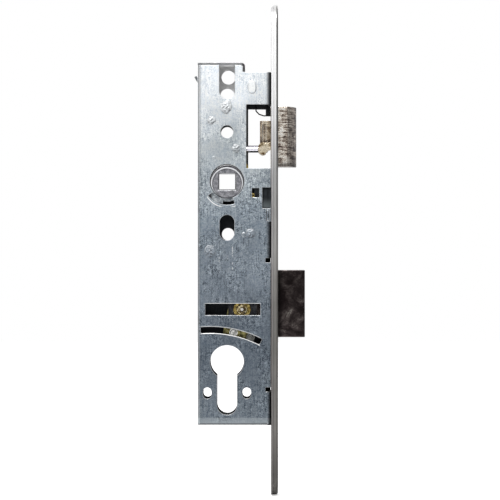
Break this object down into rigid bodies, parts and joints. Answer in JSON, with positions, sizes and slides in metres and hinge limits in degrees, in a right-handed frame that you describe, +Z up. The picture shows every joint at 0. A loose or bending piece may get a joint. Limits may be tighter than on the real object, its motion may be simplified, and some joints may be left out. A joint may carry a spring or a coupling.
{
  "type": "mortise sashlock",
  "caption": "Narrow-stile mortise sashlock: long steel forend, folded zinc case, bevelled latch drawn by a spindle hub, and a deadbolt moved by a euro cylinder",
  "frame": {"origin": "on the front face of the forend, half way along and across it", "axes": "+X out of the door edge, the way the bolts are thrown; +Z up along the forend; +Y from the folded case plate to the screwed cover"},
  "size_m": [0.0564, 0.02, 0.251],
  "materials": {
    "forend_steel": "satin, brushed along its length",
    "case_zinc": "blue bright zinc plate, mottled, brushed upright",
    "cover_zinc": "blue bright zinc plate, mottled",
    "screw_steel": "zinc plated",
    "staked_steel": "bright, hammered",
    "black_wire": "black oxide",
    "latch_nickel": "nickel plated, slightly wavy",
    "rod_steel": "polished",
    "spring_steel": "drawn wire",
    "hub_zinc": "zinc plated casting",
    "ring_zinc": "zinc plated",
    "lever_yellow": "yellow passivated zinc plate",
    "black_nylon": "black, faint sheen",
    "bolt_nickel": "polished nickel, dark",
    "tail_steel": "blue zinc plate",
    "stud_steel": "bright turned steel",
    "bush_brass": "turned brass",
    "carriage_yellow": "yellow passivated zinc plate"
  },
  "bodies": {
    "case": {"forend": "forend_steel", "case_body": "case_zinc", "case_cover": "cover_zinc", "forend_screws": "screw_steel", "cover_screws": "screw_steel", "upper_pillar": "staked_steel", "front_pillar": "staked_steel", "rear_pillar": "staked_steel", "spring_anchor_pin": "staked_steel", "rod_guide": "staked_steel", "latch_keeper_wire": "black_wire", "latch_spring": "spring_steel", "plunger_guide": "black_nylon", "return_spring": "spring_steel", "bolt_detent_spring": "spring_steel"},
    "follower": {"follower_hub": "hub_zinc", "follower_stop_ring": "ring_zinc", "follower_lever_near": "lever_yellow", "follower_lever_far": "lever_yellow"},
    "latch": {"latch_head": "latch_nickel", "latch_rod": "rod_steel", "latch_collar": "rod_steel", "rod_clip": "black_wire"},
    "plunger": {"return_plunger": "lever_yellow"},
    "deadbolt": {"deadbolt_head": "bolt_nickel", "bolt_tail_near": "tail_steel", "bolt_tail_far": "tail_steel", "bolt_rivets": "tail_steel", "bolt_stud": "stud_steel", "bolt_bush_near": "bush_brass", "bolt_bush_far": "bush_brass"},
    "roller": {"drive_roller": "bush_brass"},
    "carriage": {"key_carriage": "carriage_yellow", "carriage_studs": "stud_steel"}
  },
  "joints": [
    {"name": "follower_turn", "type": "hinge", "parent": "case", "child": "follower", "pos_m": [-0.026, 0, 0.0348], "axis": [0, -1, 0], "range_deg": [0, 29], "stiffness_Nm_per_rad": 0.6, "springref_deg": -20.05},
    {"name": "latch_slide", "type": "slide", "parent": "case", "child": "latch", "axis": [-1, 0, 0], "range_m": [0, 0.0091], "deforming": ["latch_spring"]},
    {"name": "plunger_slide", "type": "slide", "parent": "case", "child": "plunger", "axis": [1, 0, 0], "range_m": [0, 0.0043], "deforming": ["return_spring"]},
    {"name": "deadbolt_throw", "type": "slide", "parent": "case", "child": "deadbolt", "axis": [-1, 0, 0], "range_m": [0, 0.0137], "deforming": ["bolt_detent_spring"]},
    {"name": "carriage_swing", "type": "hinge", "parent": "case", "child": "carriage", "pos_m": [-0.0346, 0, -0.0983], "axis": [0, -1, 0], "range_deg": [0, 11.4]},
    {"name": "roller_spin", "type": "hinge", "parent": "deadbolt", "child": "roller", "pos_m": [-0.0184, 0, -0.0304], "axis": [0, 1, 0], "continuous": true}
  ],
  "couplings": [
    {"joint": "latch_slide", "follows": "follower_turn", "m_per_rad": 0.017864},
    {"joint": "plunger_slide", "follows": "follower_turn", "m_per_rad": 0.0083155},
    {"joint": "carriage_swing", "follows": "deadbolt_throw", "rad_per_m": 14.409}
  ]
}
